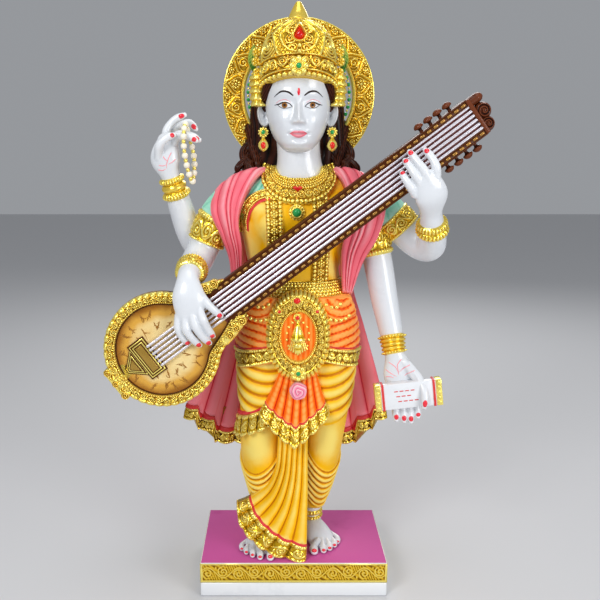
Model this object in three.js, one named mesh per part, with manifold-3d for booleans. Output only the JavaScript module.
// Saraswati standing on a plinth, carved from one block of marble, painted and gilded: an instrument across
// the body, a book in one hand and a loop of prayer beads over another. Millimetres, +Z up, the figure faces
// -Y, and the origin is the middle of the plinth's underside.
import * as THREE from 'three';
import { mergeVertices } from 'three/addons/utils/BufferGeometryUtils.js';
import Module from 'manifold-3d';

const wasm = await Module();
wasm.setup();

// Driving dimensions
const FIGURE_HEIGHT = 572;
const PLINTH_WIDTH = 197;
const PLINTH_DEPTH = 127;
const PLINTH_SLAB_HEIGHT = 16;
const PLINTH_BAND_HEIGHT = 22;
const PLINTH_BAND_RELIEF = 1.2;
const PLINTH_BAND_MARGIN = 3;
const PLINTH_EDGE_EASING = 2;
const PEARL_DIAMETER = 6.6;
const SPACER_DIAMETER = 4.4;
const BEAD_OVERLAP = 0.7;
const STRAND_CLEARANCE = 0.9;
const FINEST_EDGE = 0.02;

// The figure keeps its proportions as hundredths of its own height above the plinth
const UNIT = FIGURE_HEIGHT / 100;
const PLINTH_HEIGHT = PLINTH_SLAB_HEIGHT + PLINTH_BAND_HEIGHT;
const TURN = 2 * Math.PI;
const UP = new THREE.Vector3(0, 0, 1);
const FRONT = new THREE.Vector3(0, -1, 0);

const at = (x, y, z) => new THREE.Vector3(x * UNIT, y * UNIT, PLINTH_HEIGHT + z * UNIT);
const share = (value, steps) => Math.round(value * steps) / steps;
const zigzag = (value) => 1 - 2 * Math.abs(2 * (value - Math.floor(value)) - 1);
const { lerp, clamp, smoothstep } = THREE.MathUtils;

// A value at share t of the way through an evenly spaced list, on a smooth curve through the list
function along(values, t) {
  const reach = clamp(t, 0, 1) * (values.length - 1);
  const i = Math.min(Math.floor(reach), values.length - 2);
  const f = reach - i;
  const before = values[Math.max(i - 1, 0)];
  const after = values[Math.min(i + 2, values.length - 1)];
  const [a, b] = [values[i], values[i + 1]];
  const slopeA = (b - before) / 2;
  const slopeB = (after - a) / 2;
  const rise = b - a;
  return a + f * (slopeA + f * (3 * rise - 2 * slopeA - slopeB + f * (slopeA + slopeB - 2 * rise)));
}

// One column of a table whose first column is a height, read at any height between its rows
function levelled(rows, height, column) {
  let i = 0;
  while (i < rows.length - 2 && (height - rows[i + 1][0]) * (rows[1][0] - rows[0][0]) > 0) i += 1;
  const f = clamp((height - rows[i][0]) / (rows[i + 1][0] - rows[i][0]), 0, 1);
  return lerp(rows[i][column], rows[i + 1][column], f);
}

// Middle across, middle in depth, half width and half depth at a height of a body's or leg's table
const sectionAt = (rows, height) => [1, 2, 3, 4].map((column) => levelled(rows, height, column));

// Moves every vertex of a geometry to where `place` puts it
function formed(geometry, place) {
  const position = geometry.attributes.position;
  const vertex = new THREE.Vector3();
  for (let i = 0; i < position.count; i += 1) {
    vertex.fromBufferAttribute(position, i);
    const moved = place(vertex);
    position.setXYZ(i, moved.x, moved.y, moved.z);
  }
  return geometry;
}

// Rings of vertices closed at both ends: place(t, angle, reach), with angle 0 at the front and reach 0 on the
// middle line
function loft(rings, sides, place) {
  const tube = new THREE.CylinderGeometry(1, 1, 1, sides, rings);
  return formed(tube, (v) => {
    const step = (Math.round(Math.atan2(v.x, v.z) / TURN * sides) + sides) % sides;
    return place(share(v.y + 0.5, rings), step / sides * TURN, Math.round(Math.hypot(v.x, v.z)));
  });
}

// A slab of cloth or relief: place(u, v, w), with u across, v from top to bottom and w from back 0 to front 1
function slab(across, down, place) {
  const box = new THREE.BoxGeometry(1, 1, 1, across, down, 1);
  return formed(box, (v) => place(share(v.x + 0.5, across), share(0.5 - v.y, down), Math.round(v.z + 0.5)));
}

// A ring closed on itself: place(turn, section), both shares from 0 to 1
function hoop(around, sections, place) {
  const torus = new THREE.TorusGeometry(2, 1, sections, around);
  return formed(torus, (v) => {
    const i = (Math.round(Math.atan2(v.y, v.x) / TURN * around) + around) % around;
    const j = (Math.round(Math.atan2(v.z, Math.hypot(v.x, v.y) - 2) / TURN * sections) + sections) % sections;
    return place(i / around, j / sections);
  });
}

// Directions to the side and outward at each of a curve's stations, carried along from its far end so that
// the section doesn't twist
function framesAlong(curve, stations, facing) {
  const frames = [];
  let side = null;
  for (let i = stations.length - 1; i >= 0; i -= 1) {
    const tangent = curve.getTangent(stations[i][0]);
    if (!side) side = new THREE.Vector3().crossVectors(facing, tangent);
    side = side.clone().addScaledVector(tangent, -side.dot(tangent)).normalize();
    frames[i] = { side, outward: new THREE.Vector3().crossVectors(tangent, side) };
  }
  return frames;
}

const evenly = (rings) => Array.from({ length: rings + 1 }, (_, i) => [i / rings, 1]);

// A limb through points, with half widths and half thicknesses in figure units. Each station is a share of
// the way along and a swell of the section there.
function limb(points, widths, thicknesses, { stations, sides, facing = FRONT }) {
  const curve = new THREE.CatmullRomCurve3(points.map((p) => at(...p)));
  const frames = framesAlong(curve, stations, facing);
  return loft(stations.length - 1, sides, (t, angle, reach) => {
    const i = Math.round(t * (stations.length - 1));
    const [place, swell] = stations[i];
    return curve.getPoint(place)
      .addScaledVector(frames[i].side, reach * swell * along(widths, place) * UNIT * Math.sin(angle))
      .addScaledVector(frames[i].outward, reach * swell * along(thicknesses, place) * UNIT * Math.cos(angle));
  });
}

// A ball or egg with its three half sizes in figure units
function egg(middle, sizes, across, down) {
  const ball = new THREE.SphereGeometry(1, across, down);
  return formed(ball, (v) => at(
    middle[0] + v.x * sizes[0],
    middle[1] + v.z * sizes[1],
    middle[2] + v.y * sizes[2],
  ));
}

// A closed mesh as a solid that can be joined or cut
function solid(geometry) {
  const bare = new THREE.BufferGeometry();
  bare.setAttribute('position', geometry.attributes.position);
  bare.setIndex(geometry.index);
  const merged = mergeVertices(bare);
  const corners = merged.index.array;
  const position = merged.attributes.position;
  const [a, b, c] = [new THREE.Vector3(), new THREE.Vector3(), new THREE.Vector3()];
  const triangles = [];
  let volume = 0;
  for (let i = 0; i < corners.length; i += 3) {
    const [i0, i1, i2] = corners.slice(i, i + 3);
    if (i0 !== i1 && i1 !== i2 && i2 !== i0) {
      a.fromBufferAttribute(position, i0);
      b.fromBufferAttribute(position, i1);
      c.fromBufferAttribute(position, i2);
      volume += a.dot(b.cross(c));
      triangles.push(i0, i1, i2);
    }
  }
  return new wasm.Manifold(new wasm.Mesh({
    numProp: 3,
    vertProperties: Float32Array.from(position.array),
    triVerts: Uint32Array.from(volume > 0 ? triangles : triangles.reverse()),
    tolerance: FINEST_EDGE,
  }));
}

// Joins solids into one. Stone between two forms is left solid, so hollows sealed inside are dropped.
function joined(geometries) {
  const shells = wasm.Manifold.union(geometries.map(solid)).decompose();
  return wasm.Manifold.union(shells.filter((shell) => shell.volume() > 0));
}

// Plinth: a plain slab with eased lower edges, and a band of scrolls in a frame above it
function plinth() {
  const slabCut = new THREE.Shape();
  const halfWidth = PLINTH_WIDTH / 2;
  slabCut.moveTo(-halfWidth, PLINTH_SLAB_HEIGHT);
  slabCut.lineTo(-halfWidth, PLINTH_EDGE_EASING);
  slabCut.lineTo(-halfWidth + PLINTH_EDGE_EASING, 0);
  slabCut.lineTo(halfWidth - PLINTH_EDGE_EASING, 0);
  slabCut.lineTo(halfWidth, PLINTH_EDGE_EASING);
  slabCut.lineTo(halfWidth, PLINTH_SLAB_HEIGHT);
  const base = new THREE.ExtrudeGeometry(slabCut, { depth: PLINTH_DEPTH, bevelEnabled: false });
  base.rotateX(Math.PI / 2);
  base.translate(0, PLINTH_DEPTH / 2, 0);
  const inset = 2 * PLINTH_BAND_RELIEF;
  const band = new THREE.BoxGeometry(PLINTH_WIDTH - inset, PLINTH_DEPTH - inset, PLINTH_HEIGHT);
  band.translate(0, 0, PLINTH_HEIGHT / 2);
  const rails = [PLINTH_SLAB_HEIGHT, PLINTH_HEIGHT - PLINTH_BAND_MARGIN].map((height) => {
    const rail = new THREE.BoxGeometry(PLINTH_WIDTH, PLINTH_DEPTH, PLINTH_BAND_MARGIN);
    return rail.translate(0, 0, height + PLINTH_BAND_MARGIN / 2);
  });
  const corners = [[-1, -1], [1, -1], [-1, 1], [1, 1]].map(([x, y]) => {
    const post = new THREE.BoxGeometry(PLINTH_BAND_MARGIN, PLINTH_BAND_MARGIN, PLINTH_BAND_HEIGHT);
    return post.translate(
      x * (PLINTH_WIDTH - PLINTH_BAND_MARGIN) / 2,
      y * (PLINTH_DEPTH - PLINTH_BAND_MARGIN) / 2,
      PLINTH_SLAB_HEIGHT + PLINTH_BAND_HEIGHT / 2,
    );
  });
  return [base, band, ...rails, ...corners, ...plinthScrolls()];
}

// Leaves in a row along the front of the plinth's band, leaning to and fro as a vine does
function plinthScrolls() {
  const height = PLINTH_BAND_HEIGHT - 2 * PLINTH_BAND_MARGIN;
  const count = Math.round(PLINTH_WIDTH / height / 1.2);
  const pitch = (PLINTH_WIDTH - 4 * PLINTH_BAND_MARGIN) / count;
  return Array.from({ length: count }, (_, i) => {
    const leaf = new THREE.CylinderGeometry(height * 0.3, height * 0.42, 2 * PLINTH_BAND_RELIEF, 5);
    leaf.rotateX(Math.PI / 2);
    leaf.rotateY((i % 2 ? 1 : -1) * Math.PI / 5);
    return leaf.translate(
      (i - (count - 1) / 2) * pitch,
      -PLINTH_DEPTH / 2 + PLINTH_BAND_RELIEF,
      PLINTH_SLAB_HEIGHT + PLINTH_BAND_HEIGHT / 2,
    );
  });
}

// Body from the hips to the neck: height, middle across, middle in depth, half width, half depth
const BODY = [
  [33, 0.8, 0.6, 9.5, 6.2],
  [38, 0.8, 0.6, 11.2, 7.0],
  [43, 0.8, 0.4, 11.0, 6.8],
  [48, 0.5, 0.2, 9.2, 6.0],
  [52, 0.3, 0, 8.0, 5.2],
  [57, 0.4, -0.2, 9.0, 5.4],
  [62, 0.7, 0, 10.4, 5.4],
  [66, 0.9, 0.5, 11.6, 4.8],
  [68.6, 1.1, 0.8, 9.8, 4.0],
  [70.6, 1.2, 0.8, 5.8, 3.6],
  [72, 1.25, 0.6, 4.0, 3.6],
  [77, 1.2, 0.4, 3.6, 3.5],
];
const BREASTS = [[-4.6, 61.4], [6.2, 61.4]];

// Depth of the body's front at a place across and a height
function front(x, z) {
  const [middleX, middleY, halfWidth, halfDepth] = sectionAt(BODY, z);
  const off = clamp((x - middleX) / halfWidth, -0.98, 0.98);
  const swell = BREASTS.reduce(
    (sum, [bx, bz]) => sum + 2.5 * Math.exp(-(((x - bx) / 2.9) ** 2) - (((z - bz) / 3.1) ** 2)),
    0,
  );
  return middleY - halfDepth * Math.sqrt(1 - off * off) - swell;
}

function body() {
  const heights = [34, 38, 39.6, 41.2, 42.8, 44.4, 46, 47.6, 52, 57, 60, 63, 66, 68.6, 70.6, 72, 77];
  return loft(heights.length - 1, 14, (t, angle, reach) => {
    const z = heights[Math.round(t * (heights.length - 1))];
    const [middleX, middleY, halfWidth, halfDepth] = sectionAt(BODY, z);
    const swag = z > 38 && z < 48 ? 0.35 * zigzag((z - 38) / 3.2 - 0.25) : 0;
    const x = middleX + reach * (halfWidth + swag) * Math.sin(angle);
    const facing = Math.cos(angle);
    if (facing > 0.1 && z > 49) return at(x, lerp(middleY, front(x, z), reach), z);
    return at(x, middleY - reach * (halfDepth + swag) * facing, z);
  });
}

// Draped legs: height, middle across, middle in depth, half width, half depth
const LEFT_LEG = [
  [39, -4.6, 0.4, 5.6, 6.0],
  [35, -4.9, 0, 5.5, 5.8],
  [28, -5.6, -0.8, 4.5, 5.0],
  [22, -6.1, -1.2, 3.9, 4.3],
  [16, -6.0, -0.8, 3.75, 3.9],
  [11, -5.5, -0.2, 3.1, 3.4],
  [7, -5.2, 0.2, 2.4, 2.8],
  [1, -5.0, 0.4, 1.9, 2.3],
];
const RIGHT_LEG = [
  [39, 6.1, 0.4, 5.6, 6.0],
  [35, 6.2, 0.2, 5.4, 5.8],
  [28, 6.2, -0.2, 4.6, 5.0],
  [22, 5.9, -0.4, 3.9, 4.3],
  [16, 5.3, 0, 3.5, 3.9],
  [11, 4.5, 0.6, 3.0, 3.3],
  [7.5, 4.0, 1.0, 2.3, 2.6],
  [6.2, 3.9, 1.1, 2.2, 2.5],
];

// Heights of a leg's rings from the top down, each with its share of a fold's depth
function foldedHeights(top, bottom, folds) {
  const heights = [];
  for (const [start, end, pitch] of folds) {
    for (let z = start; z > end; z -= pitch) heights.push([z, 0], [z - pitch / 2, 1]);
  }
  return [[top, 0], ...heights, [bottom, 0]].filter(([z]) => z <= top && z >= bottom);
}

function drapedLeg(rows, folds, { turn, depth, sag }) {
  const heights = foldedHeights(rows[0][0], rows[rows.length - 1][0], folds);
  return loft(heights.length - 1, 10, (t, angle, reach) => {
    const [z, fold] = heights[Math.round(t * (heights.length - 1))];
    const [middleX, middleY, halfWidth, halfDepth] = sectionAt(rows, z);
    const ease = smoothstep(rows[0][0] - z, 0, 6) * smoothstep(z - rows[rows.length - 1][0], 0, 3);
    const hang = -sag * ease * (Math.cos(angle - turn) - 0.3) * reach;
    const out = depth * fold * smoothstep(Math.cos(angle - turn), -0.6, 0.6);
    return at(
      middleX + reach * (halfWidth + out) * Math.sin(angle),
      middleY - reach * (halfDepth + out) * Math.cos(angle),
      z + hang,
    );
  });
}

function legs() {
  const left = drapedLeg(
    LEFT_LEG,
    [[37, 28, 3.2], [16.5, 8, 2.1]],
    { turn: -0.3, depth: 0.45, sag: 2 },
  );
  const right = drapedLeg(
    RIGHT_LEG,
    [[37, 27, 3.2], [16, 8, 2.1]],
    { turn: 0.5, depth: 0.45, sag: 2 },
  );
  const ankle = limb([[3.9, 1.1, 8], [3.9, 1.0, 5], [4.1, 1.1, 2.6], [4.1, 1.2, 1]],
    [1.9, 1.6, 1.6, 1.7], [2.1, 1.8, 1.9, 2.3], { stations: evenly(4), sides: 10 });
  return [left, right, ankle];
}

// Gold hem of the cloth over the left thigh, a slanting collar round the leg above the knee
function thighHem() {
  return loft(2, 12, (t, angle, reach) => {
    const z = 20.6 + 4.6 * t;
    const [middleX, middleY, halfWidth, halfDepth] = sectionAt(LEFT_LEG, z);
    const out = 0.45 + 0.35 * along([0, 1, 0.4, -0.6], t);
    const x = middleX + reach * (halfWidth + out) * Math.sin(angle);
    return at(x, middleY - reach * (halfDepth + out) * Math.cos(angle), z + 0.42 * (x - middleX));
  });
}

// Pleats between the legs, sweeping down to a fan-shaped hem in front of the left foot
function centralPleats() {
  const pleats = 7;
  return slab(2 * pleats, 5, (u, v, w) => {
    const top = [lerp(-2.6, 2.4, u), 28];
    const middle = [lerp(-2.2, 2.4, u), lerp(13, 10, u)];
    const hem = [along([-10.8, -10.2, -7.6, -3.6, 2.2], u), along([8.6, 5.6, 3.0, 1.2, 0], u)];
    const k = v * v * (1.6 - 0.6 * v);
    const x = lerp(lerp(top[0], middle[0], smoothstep(v, 0, 0.6)), hem[0], k);
    const z = lerp(lerp(top[1], middle[1], v * 0.95), hem[1], k);
    const hemFront = along([-3.6, -6.0, -8.0, -9.4, -10.1], u);
    const surface = lerp(-5.6, hemFront, smoothstep(v, 0, 1));
    const back = lerp(3.7, hemFront + 2.2, v * v);
    const pleat = lerp(0.22, 0.5, v) * zigzag(u * pleats + 0.5);
    return at(x, w ? surface - pleat : back, z);
  });
}

// Patterned pleats hanging from the belt over the central pleats, with a gold ruffled hem
function apron() {
  const pleats = 5;
  return slab(2 * pleats, 3, (u, v, w) => {
    const side = 2 * u - 1;
    const x = lerp(lerp(-2.6, 4.1, u), lerp(-6.4, 6.5, u), v ** 1.15);
    const hem = 20.9 + 5.6 * Math.abs(side) ** 1.2;
    const z = lerp(35, hem, v);
    const flare = 0.5 * smoothstep(v, 0.7, 1);
    const surface = lerp(-7.2, -8.3, v) - flare + 2.2 * side * side * (0.3 + 0.7 * v);
    const pleat = (0.3 + 0.25 * v) * zigzag(u * pleats + 0.5);
    return at(x, w ? surface - pleat : lerp(-2, -5, v) + 1.5 * side * side, z);
  });
}

// Oval belt ornament: a scalloped frame round a raised inner oval
function medallion() {
  const profile = [[0, 0.8], [3.1, 0.5], [3.9, 1.3], [5.0, 1.1], [5.7, 0.2], [5.6, -2.3], [0, -2.3]];
  const lathe = new THREE.LatheGeometry(profile.map(([r, h]) => new THREE.Vector2(r, h)), 16);
  return formed(lathe, (v) => {
    const angle = Math.atan2(v.x, v.z);
    const reach = Math.hypot(v.x, v.z);
    const scallop = reach > 5 ? 1 + 0.03 * Math.cos(angle * 8) : 1;
    return at(0.7 + scallop * v.x, -7.6 - v.y + 0.008 * v.x * v.x, 42 + 1.45 * scallop * v.z);
  });
}

// A flat round ornament facing the front, turned from a profile of radii and heights
function disc(x, y, z, profile, sides) {
  const lathe = new THREE.LatheGeometry(profile.map(([r, h]) => new THREE.Vector2(r, h)), sides);
  return formed(lathe, (v) => at(x + v.x, y - v.y, z + v.z));
}

const RAISED_DISC = [[0, 0.5], [0.6, 0.4], [1, 0.1], [1, -0.5], [0, -0.5]];
const raisedDisc = (x, y, z, size, sides = 8) => disc(
  x, y, z, RAISED_DISC.map(([r, h]) => [r * size, h * size]), sides,
);

// Broad collar round the neck, lying on the chest
function collar() {
  return slab(12, 1, (u, v, w) => {
    const angle = (u - 0.5) * 1.16 * Math.PI;
    const reachX = lerp(3.9, 6.6, v);
    const reachZ = lerp(2.2, 6.2, v);
    const x = 1.05 + reachX * Math.sin(angle);
    const z = 72.0 - reachZ * Math.cos(angle) - lerp(0.4, 0.8, v) * Math.abs(Math.sin(angle));
    const thickness = w ? 0.8 : -1;
    return at(x, Math.max(front(x, z), -8) - thickness + 1.4 * Math.sin(angle) ** 4, z);
  });
}

// A flat chain of ornaments lying on the body's front from the collar to the belt
function longChain(x) {
  return slab(1, 5, (u, v, w) => {
    const z = lerp(67.5, 47.5, v);
    const across = x + lerp(-1.5, 1.5, u);
    return at(across, front(across, z) - (w ? 0.5 : -1), z);
  });
}

// Scarf over a shoulder: folds from the neck over the shoulder and down the side of the chest
function shoulderScarf(inner, outer, lift) {
  const folds = 3;
  return slab(2 * folds, 5, (u, v, w) => {
    const x = lerp(along(inner.map((p) => p[0]), v), along(outer.map((p) => p[0]), v), u);
    const z = lerp(along(inner.map((p) => p[1]), v), along(outer.map((p) => p[1]), v), u);
    const side = lerp(along(inner.map((p) => p[2]), v), along(outer.map((p) => p[2]), v), u);
    const fold = 0.28 * zigzag(u * folds + 0.5);
    const outward = new THREE.Vector3(0, -1, lift * (1 - smoothstep(v, 0.1, 0.45))).normalize();
    const depth = w ? fold + 0.4 : -1.6;
    return at(x + outward.x * depth, side + outward.y * depth, z + outward.z * depth);
  });
}

function scarves() {
  const leftInner = [[-3.6, 70.8, 2.6], [-5.6, 70.4, -1.8], [-7.6, 67.6, -4.4], [-9.2, 62.5, -4.6],
    [-9.1, 57, -4.4], [-9.4, 49.5, -4.0]];
  const leftOuter = [[-12.6, 67.4, 3.0], [-14.2, 67.2, 0.4], [-14.6, 64.4, -2.6], [-12.9, 59.5, -2.2],
    [-11.6, 55, -1.6], [-11.2, 49.0, -1.2]];
  const rightInner = [[6.2, 70.8, 2.6], [8.0, 70.4, -1.8], [9.2, 67.6, -4.4], [9.2, 62, -5.4],
    [8.6, 56.5, -4.8], [9.2, 49.5, -3.6]];
  const rightOuter = [[13.6, 68, 3.0], [15.4, 67.6, 0.4], [15.6, 64.4, -2.6], [14.4, 59.5, -2.6],
    [11.8, 55, -2.4], [10.6, 49.0, -1.6]];
  return [shoulderScarf(leftInner, leftOuter, 1.4), shoulderScarf(rightInner, rightOuter, 1.4)];
}

// Cloth hanging behind the figure from the shoulders to below the knees, with a stepped hem
function hangingCloth() {
  const pleats = 8;
  return slab(2 * pleats, 3, (u, v, w) => {
    const left = along([-10.5, -10.5, -11.2, -15, -18.5, -21.6], v);
    const right = along([12, 11.5, 11.4, 14, 16.6, 18.8], v);
    const x = lerp(left, right, u);
    const side = 2 * u - 1;
    const step = 0.5 * zigzag(Math.floor(u * pleats) / 2);
    const hem = 17.2 + 5.6 * Math.abs(side) ** 2.6 + step;
    const z = lerp(68.4, hem, v);
    const depth = along([4.6, 5.0, 6.2, 6.9, 6.0, 5.2], v);
    const pleat = lerp(0.25, 0.55, v) * zigzag(u * pleats + 0.5);
    const bend = -0.9 * v * side * side;
    if (w) return at(x, lerp(3, depth + bend - pleat, smoothstep(Math.abs(side), 0.4, 0.6)), z);
    return at(x, depth + bend - pleat + 1.5, z);
  });
}

// Head: height, half width, depth of the front and of the back
const HEAD = [
  [73.4, 2.2, -3.6, 1.5],
  [74.2, 3.2, -5.2, 2.6],
  [76, 4.4, -5.9, 4.0],
  [78.5, 5.3, -6.0, 5.0],
  [81, 5.75, -5.7, 5.6],
  [84, 5.8, -6.0, 5.8],
  [87, 5.4, -5.5, 5.4],
  [89.5, 3.6, -3.4, 3.6],
];
const HEAD_X = 1.15;

function head() {
  const skull = loft(HEAD.length - 1, 12, (t, angle, reach) => {
    const [z, halfWidth, faceY, napeY] = HEAD[Math.round(t * (HEAD.length - 1))];
    const middleY = (faceY + napeY) / 2;
    const y = middleY - reach * (napeY - faceY) / 2 * Math.cos(angle);
    return at(HEAD_X + reach * halfWidth * Math.sin(angle), y, z);
  });
  const nose = limb([[HEAD_X, -5.4, 82.6], [HEAD_X, -6.4, 80.2], [HEAD_X, -7.2, 78.5], [HEAD_X, -6.2, 77.8]],
    [0.4, 0.55, 0.85, 0.5], [0.4, 0.5, 0.7, 0.4], { stations: evenly(3), sides: 4 });
  const lips = [[76.75, 1.5], [76.1, 1.2]].map(([z, halfWidth]) => (
    egg([HEAD_X, -5.9, z], [halfWidth, 0.55, 0.36], 6, 3)));
  const eyes = [-2.45, 2.45].map((x) => egg([HEAD_X + x, -5.07, 81.2], [1.25, 0.75, 0.55], 6, 3));
  const ears = [-1, 1].map((sign) => limb(
    [[HEAD_X + sign * 6.4, 0.6, 82.4], [HEAD_X + sign * 6.9, 0.2, 80.6], [HEAD_X + sign * 6.2, -0.4, 78.2]],
    [0.5, 0.9, 0.5], [0.9, 1.3, 0.7], { stations: evenly(2), sides: 6 },
  ));
  return [skull, nose, ...lips, ...eyes, ...ears];
}

// Hair: wavy locks that flow behind the ears to the shoulders, over a mass at the back of the head
function hair() {
  const locks = [-1, 1].flatMap((sign) => [0, 1].map((i) => {
    const spread = [2.2, 0.4][i];
    const wave = i % 2 ? 0.5 : -0.5;
    const fall = [
      [5.9 - 0.3 * i, 1.65 + i, 84 - i],
      [6.6 + 0.4 * spread, 2.2 + 0.8 * i, 80],
      [7.3 + wave + 0.7 * spread, 2.4 + 0.7 * i, 76.5],
      [7.9 - wave + 1.1 * spread, 2.0 + 0.7 * i, 73],
      [8.6 + wave + 1.1 * spread, 1.4 + 0.9 * i, 70.2],
      [9.4 + 1.1 * spread, 0.6 + 1.1 * i, 68.6],
    ].map(([x, y, z]) => [HEAD_X + sign * x, y, z]);
    return limb(
      fall,
      [0.9, 1.3, 1.4, 1.4, 1.2, 0.5],
      [0.9, 1.2, 1.2, 1.2, 1.1, 0.5],
      { stations: evenly(5), sides: 5 },
    );
  }));
  const back = limb(
    [[HEAD_X, 2.2, 90], [HEAD_X, 3.0, 84], [HEAD_X, 3.2, 77], [HEAD_X, 3.2, 70], [HEAD_X, 3.2, 64]],
    [4.6, 6.2, 6.8, 8.4, 6.0],
    [3.2, 3.6, 3.4, 3.0, 2.0],
    { stations: evenly(4), sides: 10 },
  );
  return [...locks, back];
}

// Crown: height at the sides, half width; the front of each ring rises a little
const CROWN = [
  [84.6, 6.5],
  [84.9, 7.3],
  [85.9, 7.3],
  [86.3, 6.85],
  [90, 7.0],
  [93, 6.1],
  [95.2, 4.7],
  [97.2, 1.8],
  [98.2, 1.8],
  [100, 0.3],
];

function crown() {
  const x0 = HEAD_X - 0.3;
  const dome = loft(CROWN.length - 1, 12, (t, angle, reach) => {
    const [z, radius] = CROWN[Math.round(t * (CROWN.length - 1))];
    const rise = 0.55 * Math.cos(angle) * clamp((97 - z) / 9, 0, 1);
    return at(x0 + reach * radius * Math.sin(angle), -0.7 - reach * radius * Math.cos(angle), z + rise);
  });
  return [dome, ...crownPanels(x0)];
}

// Pointed panels standing on the crown's front and sides, the gem settings and the side ornaments
function crownPanels(x0) {
  const ogee = (h, w) => {
    const outline = new THREE.Shape();
    outline.moveTo(0, 0);
    outline.bezierCurveTo(w * 0.9, h * 0.02, w * 1.5, h * 0.5, w * 0.55, h * 0.72);
    outline.quadraticCurveTo(w * 0.2, h * 0.86, 0, h);
    outline.quadraticCurveTo(-w * 0.2, h * 0.86, -w * 0.55, h * 0.72);
    outline.bezierCurveTo(-w * 1.5, h * 0.5, -w * 0.9, h * 0.02, 0, 0);
    return outline;
  };
  const panel = (turn, foot, height, halfWidth, raised) => {
    const cut = { depth: 1, bevelEnabled: false, curveSegments: 2 };
    const plate = new THREE.ExtrudeGeometry(ogee(height, halfWidth), cut);
    return formed(plate, (v) => {
      const z = foot + v.y;
      const radius = levelled(CROWN, z, 1);
      const angle = turn + v.x / 7;
      const reach = radius + (v.z > 0.5 ? raised : -1.2);
      return at(x0 + reach * Math.sin(angle), -0.7 - reach * Math.cos(angle), z + 0.4 * Math.cos(angle));
    });
  };
  const panels = [
    panel(0, 88.2, 8.6, 3.6, 0.6),
    panel(-0.85, 88, 6.6, 2.6, 0.5),
    panel(0.85, 88, 6.6, 2.6, 0.5),
  ];
  const sideDrops = [-1, 1].flatMap((sign) => [
    limb([[x0 + sign * 7.4, -0.6, 93.6], [x0 + sign * 8.0, -0.8, 91], [x0 + sign * 7.4, -1.0, 88]],
      [0.5, 0.85, 0.6], [0.5, 0.6, 0.6], { stations: evenly(2), sides: 5 }),
    limb([[x0 + sign * 7.2, -1.2, 88.4], [x0 + sign * 7.3, -1.4, 86], [x0 + sign * 6.9, -1.4, 82.9]],
      [1.0, 1.15, 0.9], [0.9, 1.0, 0.8], { stations: evenly(1), sides: 4 }),
  ]);
  const gems = [raisedDisc(x0 - 0.3, -7.9, 88.1, 1.5), raisedDisc(x0 - 0.3, -6.9, 93.4, 1.0, 6)];
  return [...panels, ...sideDrops, ...gems];
}

// Halo: a ring behind the head with a raised inner rim, petals in relief and a thin outer rim
const HALO = { x: 0.9, y: 5.2, z: 84.5, petals: 10 };
const HALO_SECTION = [
  [9.9, 0.8],
  [9.9, -0.9],
  [10.6, -1.1],
  [10.9, -0.6],
  [12.4, -0.6],
  [14, -0.8],
  [14, 0.8],
];

function halo() {
  const around = 3 * HALO.petals;
  return hoop(around, HALO_SECTION.length, (turn, section) => {
    const i = Math.round(section * HALO_SECTION.length);
    const [radius, depth] = HALO_SECTION[i];
    const petal = i === 4 ? 0.6 * Math.abs(Math.cos(turn * HALO.petals * Math.PI)) : 0;
    const angle = turn * TURN;
    return at(HALO.x + radius * Math.cos(angle), HALO.y + depth - petal, HALO.z + radius * Math.sin(angle));
  });
}

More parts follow.
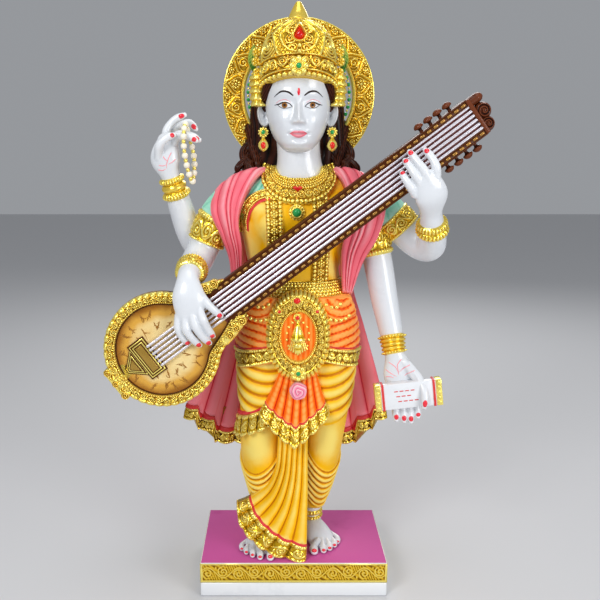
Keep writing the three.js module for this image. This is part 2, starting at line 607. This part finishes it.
// Arms from the shoulder to the knuckles, with a jewelled armlet and bangles swelling out of them
const ARMS = {
  // Over the strings, seen from the back of the hand
  frontRight: {
    path: [[-10.5, 0.5, 66.5], [-14, 0, 62.5], [-16.6, 0.2, 57], [-17.8, -2.6, 54.4], [-18.2, -7, 53.6],
      [-18.4, -10.6, 52.8], [-18.2, -12.3, 49.8], [-17.9, -12.7, 45.9]],
    widths: [3.2, 3.1, 2.9, 2.8, 2.3, 1.9, 2.8, 2.2],
    thicknesses: [3.2, 3.1, 2.9, 2.8, 2.3, 1.6, 1.4, 0.9],
    armlet: [0.11, 0.21],
    bangle: [0.54, 0.64],
    fingers: [
      [[-19.9, -12.4, 46.6], [-20.0, -12.7, 44.6], [-19.4, -12.3, 42.8], [-18.4, -11.5, 41.5]],
      [[-18.8, -12.8, 46.6], [-18.6, -13.2, 44.4], [-17.6, -12.7, 42.6], [-16.4, -11.7, 41.2]],
      [[-17.6, -13.0, 47.0], [-17.0, -13.4, 45.0], [-15.9, -12.8, 43.0], [-14.7, -11.8, 41.6]],
      [[-16.4, -12.75, 47.85], [-15.7, -13.2, 46.0], [-14.9, -12.6, 44.2], [-14.1, -11.7, 42.8]],
      [[-16.4, -11.9, 50.6], [-15.3, -12.4, 49.0], [-14.0, -12.2, 47.6], [-12.7, -11.6, 46.3]],
    ],
  },
  // Raised, the palm to the front, the fingers bent over the prayer beads
  raisedRight: {
    path: [[-10.5, 3, 66], [-14.5, 3.6, 61.4], [-17.6, 3.6, 57.4], [-19.4, 2.6, 59.6], [-21.0, 1.0, 65],
      [-22.3, -0.3, 69.8], [-23.1, -1.1, 73], [-22.6, -0.9, 76.2]],
    widths: [2.8, 2.7, 2.7, 2.5, 2.2, 1.75, 2.7, 1.9],
    thicknesses: [2.8, 2.7, 2.7, 2.5, 2.2, 1.6, 1.5, 1.1],
    bangle: [0.6, 0.7],
    fingers: [
      [[-23.4, -0.4, 75.6], [-22.9, 0.4, 78.2], [-21.5, 0.6, 80.0], [-19.6, 0.2, 80.8]],
      [[-22.4, 0.4, 76.4], [-21.2, 2.6, 78.6], [-19.4, 3.4, 79.6], [-17.9, 3.2, 78.4]],
      [[-22.2, 0.2, 75.2], [-20.8, -0.5, 77.2], [-18.8, -0.5, 77.2], [-17.0, -0.5, 76.3]],
      [[-22.0, -0.9, 74.6], [-20.8, -1.9, 76.8], [-18.9, -1.9, 76.9], [-17.4, -1.9, 76.2]],
      [[-24.2, -1.9, 73.2], [-23.9, -3.0, 75.2], [-22.6, -3.3, 76.6], [-21.2, -3.0, 77.2]],
    ],
  },
  // On the instrument's neck, seen from the back of the hand
  upperLeft: {
    path: [[12, 0.4, 67.2], [17, 0, 63.6], [22, -0.8, 58.6], [24.4, -3, 57.6], [24.2, -6.2, 60.4],
      [23.3, -9.2, 64], [22.8, -11.8, 66.8], [21.6, -12.7, 69.6]],
    widths: [3.2, 3.0, 3.0, 2.8, 2.4, 1.95, 2.8, 2.3],
    thicknesses: [3.2, 3.0, 3.0, 2.8, 2.4, 1.6, 1.3, 0.9],
    armlet: [0.14, 0.24],
    bangle: [0.57, 0.66],
    fingers: [
      [[19.9, -12.2, 67.2], [19.0, -12.7, 68.5], [18.2, -12.4, 69.7], [17.7, -11.7, 70.8]],
      [[20.9, -12.6, 68.4], [19.8, -13.1, 70.2], [18.9, -12.6, 71.6], [18.1, -11.8, 72.8]],
      [[22.2, -12.8, 69.2], [21.0, -13.2, 71.2], [19.8, -12.7, 72.8], [18.8, -11.8, 74.2]],
      [[23.4, -12.4, 69.4], [23.1, -13.0, 71.6], [22.4, -12.5, 73.2], [21.4, -11.8, 74.5]],
    ],
  },
  // Held down, the palm to the front, round the book
  lowerLeft: {
    path: [[11.5, 2.4, 66], [14, 1.4, 61], [15.6, 0.4, 54.5], [16.9, -0.6, 47.5], [18.0, -2.2, 42],
      [18.6, -3.6, 37.8], [19.4, -4.4, 34.6], [20.2, -4.5, 31]],
    widths: [2.9, 2.8, 2.7, 2.5, 2.2, 1.8, 2.9, 2.7],
    thicknesses: [2.9, 2.8, 2.7, 2.5, 2.2, 1.5, 1.2, 0.9],
    armlet: [0.15, 0.26],
    bangle: [0.54, 0.65],
    fingers: [
      [[18.2, -4.4, 31.4], [18.5, -4.6, 29.2], [18.8, -5.0, 27.4], [19.0, -5.6, 25.6]],
      [[19.6, -4.4, 31.4], [19.9, -4.6, 29.2], [20.2, -5.1, 27.3], [20.4, -5.7, 25.4]],
      [[21.0, -4.4, 31.4], [21.2, -4.6, 29.2], [21.5, -5.1, 27.2], [21.7, -5.7, 25.3]],
      [[22.3, -4.4, 31.4], [22.5, -4.6, 29.4], [22.8, -5.1, 27.6], [23.0, -5.6, 26.2]],
      [[20.9, -4.9, 36.4], [22.8, -6.4, 34.0], [23.8, -7.7, 31.4], [23.8, -8.3, 28.8]],
    ],
  },
};

// Half thickness of a finger at its root
const FINGER = 0.78;

// Stations of an arm: evenly along it, with two steps out and in again round each cuff
function armStations(cuffs) {
  const plain = [0, 0.15, 0.29, 0.42, 0.5, 0.7, 0.85, 1]
    .filter((t) => cuffs.every(([from, to]) => t < from - 0.03 || t > to + 0.03))
    .map((t) => [t, 1]);
  const steps = cuffs.flatMap(([from, to]) => [[from, 1], [from + 0.005, 1.16], [to - 0.005, 1.16], [to, 1]]);
  return [...plain, ...steps].sort((a, b) => a[0] - b[0]);
}

function arm({ path, widths, thicknesses, armlet, bangle, fingers }) {
  const stations = armStations([armlet, bangle].filter(Boolean));
  return [
    limb(path, widths, thicknesses, { stations, sides: 7 }),
    ...fingers.map((joints) => limb(
      joints, [FINGER, FINGER, 0.74, 0.46], [FINGER, FINGER, 0.7, 0.42], { stations: evenly(3), sides: 5 },
    )),
  ];
}

// Feet: the ankle to the ball of the foot, then five toes
const FEET = {
  left: {
    sole: [[-5.0, 1.6, 0.9], [-5.2, -1.4, 1.6], [-6.1, -4.8, 1.3], [-6.9, -7.6, 0.6]],
    widths: [1.8, 2.3, 3.0, 3.1],
    toes: [[-4.3, -9.5, 0.8], [-6.2, -9.4, 0.62], [-7.6, -8.6, 0.58], [-8.8, -7.5, 0.54], [-9.7, -6.2, 0.5]],
  },
  right: {
    sole: [[3.9, 2.8, 0.9], [4.1, 0.2, 1.6], [5.2, -2.6, 1.3], [5.9, -5.2, 0.6]],
    widths: [1.8, 2.2, 2.9, 3.0],
    toes: [[3.9, -7.3, 0.85], [5.7, -6.9, 0.64], [6.9, -6.0, 0.6], [7.9, -4.8, 0.56], [8.6, -3.4, 0.52]],
  },
};

function foot({ sole, widths, toes }) {
  return [
    limb(sole, widths, [1.4, 2.2, 1.9, 1.0], { stations: evenly(3), sides: 8, facing: UP }),
    ...toes.map(([x, y, size]) => limb(
      [[lerp(x, sole[3][0], 0.6), y + 2.6, 0.7], [x, y + 0.6, 0.7], [x, y - size * 0.7, size * 0.7]],
      [size, size, size * 0.75],
      [size, size, size * 0.6],
      { stations: evenly(2), sides: 5, facing: UP },
    )),
  ];
}

// The instrument: s runs along it from the gourd's middle, c across it and d out of its face
const INSTRUMENT = { x: -23.2, y: -10.2, z: 40.1, tilt: THREE.MathUtils.degToRad(36.8) };
const NECK = { start: 14, end: 66.5, upper: 3.35, lower: -3.5, depth: 2.8, rail: 0.95, railTop: 0.55 };
const STRINGS = { count: 6, start: -1.4, spread: 4.1, thickness: 0.26, top: 0.5, overGourd: 0.8 };

function onInstrument(s, c, d) {
  const { x, y, z, tilt } = INSTRUMENT;
  return at(
    x + s * Math.cos(tilt) - c * Math.sin(tilt),
    y - d,
    z + s * Math.sin(tilt) + c * Math.cos(tilt),
  );
}

// Radius of the gourd's outline at an angle from the neck: a round bowl drawn out to the neck's width
const GOURD = { radius: 10.3, reach: 16.6, throat: 0.21, shoulder: 0.8 };

function gourdEdge(angle) {
  const lean = Math.abs(angle);
  const { radius, reach, throat, shoulder } = GOURD;
  if (lean < throat) return reach * Math.cos(throat) / Math.cos(lean);
  return radius + (reach - radius) * clamp((shoulder - lean) / (shoulder - throat), 0, 1) ** 1.9;
}

// Gourd with its carved rim, ring by ring from the back to the middle of the face
function gourd() {
  const rings = [[0.4, -6.4], [0.86, -4.6], [1, -1.6], [1, 0], [0.93, 0.75], [0.84, 0]];
  return loft(rings.length - 1, 22, (t, angle, reach) => {
    const turned = angle > Math.PI ? angle - TURN : angle;
    const lean = Math.sign(turned) * Math.PI * (Math.abs(turned) / Math.PI) ** 1.4;
    const [size, depth] = rings[Math.round(t * (rings.length - 1))];
    const crest = depth > 0 ? depth * smoothstep(Math.abs(lean), 0.15, 0.3) : depth;
    const radius = reach * size * gourdEdge(lean);
    return onInstrument(radius * Math.cos(lean), radius * Math.sin(lean), crest);
  });
}

// A bar along, across and out of the instrument, given by its lowest and highest s, c and d
function bar([s0, c0, d0], [s1, c1, d1]) {
  const box = new THREE.BoxGeometry(1, 1, 1);
  return formed(box, (v) => onInstrument(
    lerp(s0, s1, v.x + 0.5),
    lerp(c0, c1, v.y + 0.5),
    lerp(d0, d1, v.z + 0.5),
  ));
}

// Outline of the strings' ridges over a board, from the upper edge to the lower
function stringRidges(level, thickness, top) {
  const { count, spread } = STRINGS;
  return Array.from({ length: count }, (_, i) => (0.5 - i / (count - 1)) * spread).flatMap((c) => [
    [c + thickness, level], [c + thickness / 2, top], [c - thickness / 2, top], [c - thickness, level],
  ]);
}

function extrudedAlong(outline, start, end) {
  const shape = new THREE.Shape(outline.map(([c, d]) => new THREE.Vector2(c, d)));
  const geometry = new THREE.ExtrudeGeometry(shape, { depth: end - start, bevelEnabled: false });
  return formed(mergeVertices(geometry), (v) => onInstrument(start + v.z, v.x, v.y));
}

function instrumentNeck() {
  const { start, end, upper, lower, depth, rail, railTop } = NECK;
  const { spread, thickness, top, overGourd } = STRINGS;
  const board = [
    [lower, -depth], [upper, -depth], [upper, railTop], [upper - rail, railTop], [upper - rail, 0.1],
    ...stringRidges(0.1, thickness, top),
    [lower + rail, 0.1], [lower + rail, railTop], [lower, railTop],
  ];
  const strings = [
    [spread * 0.56, -0.5],
    ...stringRidges(-0.2, thickness * overGourd, top * overGourd),
    [-spread * 0.56, -0.5],
  ];
  return [
    extrudedAlong(board, start, end),
    extrudedAlong(strings, STRINGS.start, start + 0.5),
    ...pegs(),
    ...scrollHead(),
    ...bridge(),
  ];
}

// Mushroom pegs in a row on each side of the neck's end
function pegs() {
  const profile = [[0, 0], [0.32, 0], [0.32, 0.9], [0.78, 1.3], [0, 1.9]];
  return [1, -1].flatMap((side) => [0, 1, 2, 3].map((i) => {
    const peg = new THREE.LatheGeometry(profile.map(([r, h]) => new THREE.Vector2(r, h)), 5);
    const edge = side > 0 ? NECK.upper : NECK.lower;
    return formed(peg, (v) => onInstrument(57.9 + 1.9 * i + v.x, edge - side * 0.6 + side * v.y, -0.6 + v.z));
  }));
}

// Curled end of the neck: a plate, a turned roll across it and a lobe beyond
function scrollHead() {
  const plate = bar([66.3, -3.6, -2.8], [67.2, 3.4, 0.9]);
  const roll = (s, c, radius, halfLength) => formed(
    new THREE.CylinderGeometry(radius, radius, 2 * halfLength, 8),
    (v) => onInstrument(s + v.x, c + v.y, -1.2 + v.z),
  );
  return [plate, roll(68.0, 1.6, 1.15, 1.4), roll(68.4, -0.9, 1.35, 1.3), roll(67.8, -2.4, 1.0, 0.9)];
}

// Bridge under the strings, with a three-cornered tailpiece, and curled ornament at the gourd's foot
function bridge() {
  const foot = bar([-4.4, -2.95, -0.3], [-1.5, 3.85, 0.9]);
  const corners = [[-4.1, 2.8], [-7.2, 0.7], [-4.9, -2.2]];
  const tail = new THREE.Shape(corners.map(([s, c]) => new THREE.Vector2(s, c)));
  const tailpiece = formed(
    new THREE.ExtrudeGeometry(tail, { depth: 0.9, bevelEnabled: false }),
    (v) => onInstrument(v.x, v.y, v.z - 0.3),
  );
  const block = bar([-11.1, -3.8, -2.2], [-8.6, 3.1, 0.4]);
  const curls = [[-9.4, -2.9, 1.2], [-9.2, -0.2, 1.5], [-9.6, 2.2, 1.2]].map(([s, c, size]) => formed(
    new THREE.CylinderGeometry(size * 0.7, size, 1.2, 6),
    (v) => onInstrument(s + v.x, c + v.z, 0.5 + v.y),
  ));
  return [foot, tailpiece, block, ...curls];
}

// Book: leaves between boards, tilted a little in the hand
function book() {
  const tilt = THREE.MathUtils.degToRad(6.6);
  const box = new THREE.BoxGeometry(12.2, 2.0, 4.8);
  return formed(box, (v) => at(
    20.8 + v.x * Math.cos(tilt) - v.z * Math.sin(tilt),
    -6.4 + v.y,
    30.85 + v.x * Math.sin(tilt) + v.z * Math.cos(tilt),
  ));
}

// Earrings under the ears, the rose on the apron and the pendant below the collar
function smallOrnaments() {
  const earrings = [-1, 1].flatMap((sign) => [
    raisedDisc(HEAD_X + sign * 6.2, -1.2, 77.5, 0.85, 6),
    egg([HEAD_X + sign * 6.2, -1.3, 75.4], [0.8, 0.8, 1.35], 5, 3),
  ]);
  const rose = raisedDisc(0.7, -8.3, 32, 1.75);
  const pendant = raisedDisc(0.4, front(0.4, 63.9) - 0.4, 63.9, 1.5);
  return [...earrings, rose, pendant];
}

// Prayer beads: pearls with small spacers between them, hung in a loop over two fingers of the raised hand
function prayerBeads() {
  const clear = FINGER + (PEARL_DIAMETER / 2 + STRAND_CLEARANCE) / UNIT;
  const path = new THREE.CatmullRomCurve3([
    at(-19.4, -1.1, 77.55 + clear),
    at(-19.5, -1.9 - clear, 77.1),
    at(-19.5, -3.0, 74.6),
    at(-19.1, -2.7, 71.8),
    at(-18.3, -1.8, 69.0),
    at(-18.0, -0.4, 71.6),
    at(-18.3, 0.8, 74.2),
    at(-19.1, -0.5 + clear, 77.1),
  ], true);
  const pitch = (PEARL_DIAMETER + SPACER_DIAMETER) / 2 - BEAD_OVERLAP;
  const count = 2 * Math.round(path.getLength() / pitch / 2);
  const beads = Array.from({ length: count }, (_, i) => {
    const pearl = i % 2 === 0;
    const shape = pearl
      ? new THREE.IcosahedronGeometry(PEARL_DIAMETER / 2)
      : new THREE.OctahedronGeometry(SPACER_DIAMETER / 2);
    const corner = new THREE.Vector3().fromBufferAttribute(shape.attributes.position, 0).normalize();
    const turned = new THREE.Quaternion().setFromUnitVectors(corner, path.getTangentAt(i / count));
    const place = path.getPointAt(i / count);
    shape.applyQuaternion(turned).translate(place.x, place.y, place.z);
    return mergeVertices(shape.deleteAttribute('normal').deleteAttribute('uv'));
  });
  return joined(beads);
}

function figure() {
  return joined([
    ...plinth(),
    body(),
    ...legs(),
    thighHem(),
    centralPleats(),
    apron(),
    medallion(),
    collar(),
    longChain(-3.8),
    longChain(4.5),
    ...scarves(),
    hangingCloth(),
    ...head(),
    ...hair(),
    ...crown(),
    halo(),
    ...Object.values(ARMS).flatMap(arm),
    ...Object.values(FEET).flatMap(foot),
    gourd(),
    ...instrumentNeck(),
    book(),
    ...smallOrnaments(),
  ]);
}

// A named mesh from a solid, with its own material
function part(name, shape, look) {
  const mesh = shape.getMesh();
  const geometry = new THREE.BufferGeometry();
  geometry.setAttribute('position', new THREE.BufferAttribute(mesh.vertProperties, 3));
  geometry.setIndex(new THREE.BufferAttribute(mesh.triVerts, 1));
  geometry.computeVertexNormals();
  const node = new THREE.Mesh(geometry, new THREE.MeshStandardMaterial(look));
  node.name = name;
  return node;
}

const saraswati = new THREE.Group();
saraswati.add(part('figure', figure(), { color: 0xe9ecf2, roughness: 0.3, metalness: 0 }));
saraswati.add(part('prayer_beads', prayerBeads(), { color: 0xf2ead2, roughness: 0.25, metalness: 0 }));

export default saraswati;
